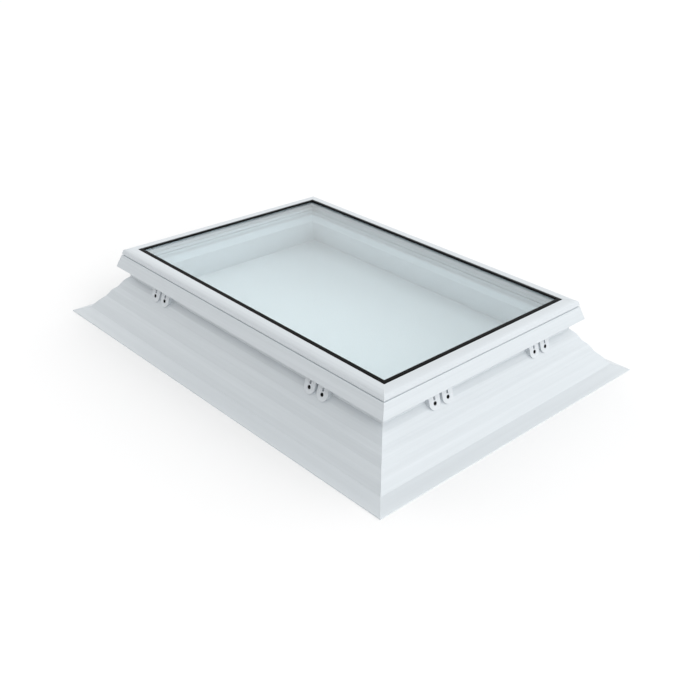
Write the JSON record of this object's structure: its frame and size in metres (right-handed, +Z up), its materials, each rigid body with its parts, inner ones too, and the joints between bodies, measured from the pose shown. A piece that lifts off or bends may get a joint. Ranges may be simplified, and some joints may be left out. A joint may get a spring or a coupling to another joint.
{
  "type": "fixed flat-roof skylight",
  "caption": "Fixed double-glazed skylight on a flared hollow plastic kerb with a wide foot, drip-skirted frame, black glazing gasket and screwed fixing brackets.",
  "frame": {"origin": "centre of the underside of the kerb's foot, where it rests on the roof deck", "axes": "+X along the long side, +Y along the short side towards the back, +Z up"},
  "size_m": [1.177, 0.877, 0.1889],
  "materials": {
    "white_pvc": "satin extruded",
    "moulded_white": "satin moulded",
    "black_gasket": "matt extruded",
    "grey_seal": "matt foam",
    "pale_seal": "matt extruded",
    "butyl": "matt",
    "clear_glass": "polished",
    "interlayer": "clear film",
    "spacer_aluminium": "mill",
    "key_plastic": "moulded",
    "block_plastic": "moulded",
    "black_steel": "black phosphated"
  },
  "bodies": {
    "root": {"kerb_front": "white_pvc", "kerb_right": "white_pvc", "kerb_back": "white_pvc", "kerb_left": "white_pvc", "kerb_seal": "grey_seal", "frame_front": "white_pvc", "frame_right": "white_pvc", "frame_back": "white_pvc", "frame_left": "white_pvc", "inner_gasket": "pale_seal", "inner_sheet_lower": "clear_glass", "inner_interlayer": "interlayer", "inner_sheet_upper": "clear_glass", "butyl_lower": "butyl", "spacer_front": "spacer_aluminium", "spacer_right": "spacer_aluminium", "spacer_back": "spacer_aluminium", "spacer_left": "spacer_aluminium", "spacer_corner_keys": "key_plastic", "butyl_upper": "butyl", "edge_sealant": "butyl", "outer_pane": "clear_glass", "setting_blocks": "block_plastic", "outer_gasket": "black_gasket", "bead_front": "white_pvc", "bead_right": "white_pvc", "bead_back": "white_pvc", "bead_left": "white_pvc", "bracket_front_a": "moulded_white", "bracket_front_b": "moulded_white", "bracket_right_a": "moulded_white", "bracket_right_b": "moulded_white", "bracket_back_a": "moulded_white", "bracket_back_b": "moulded_white", "bracket_left_a": "moulded_white", "bracket_left_b": "moulded_white", "bracket_screws_front": "black_steel", "bracket_screws_right": "black_steel", "bracket_screws_back": "black_steel", "bracket_screws_left": "black_steel"}
  },
  "joints": []
}
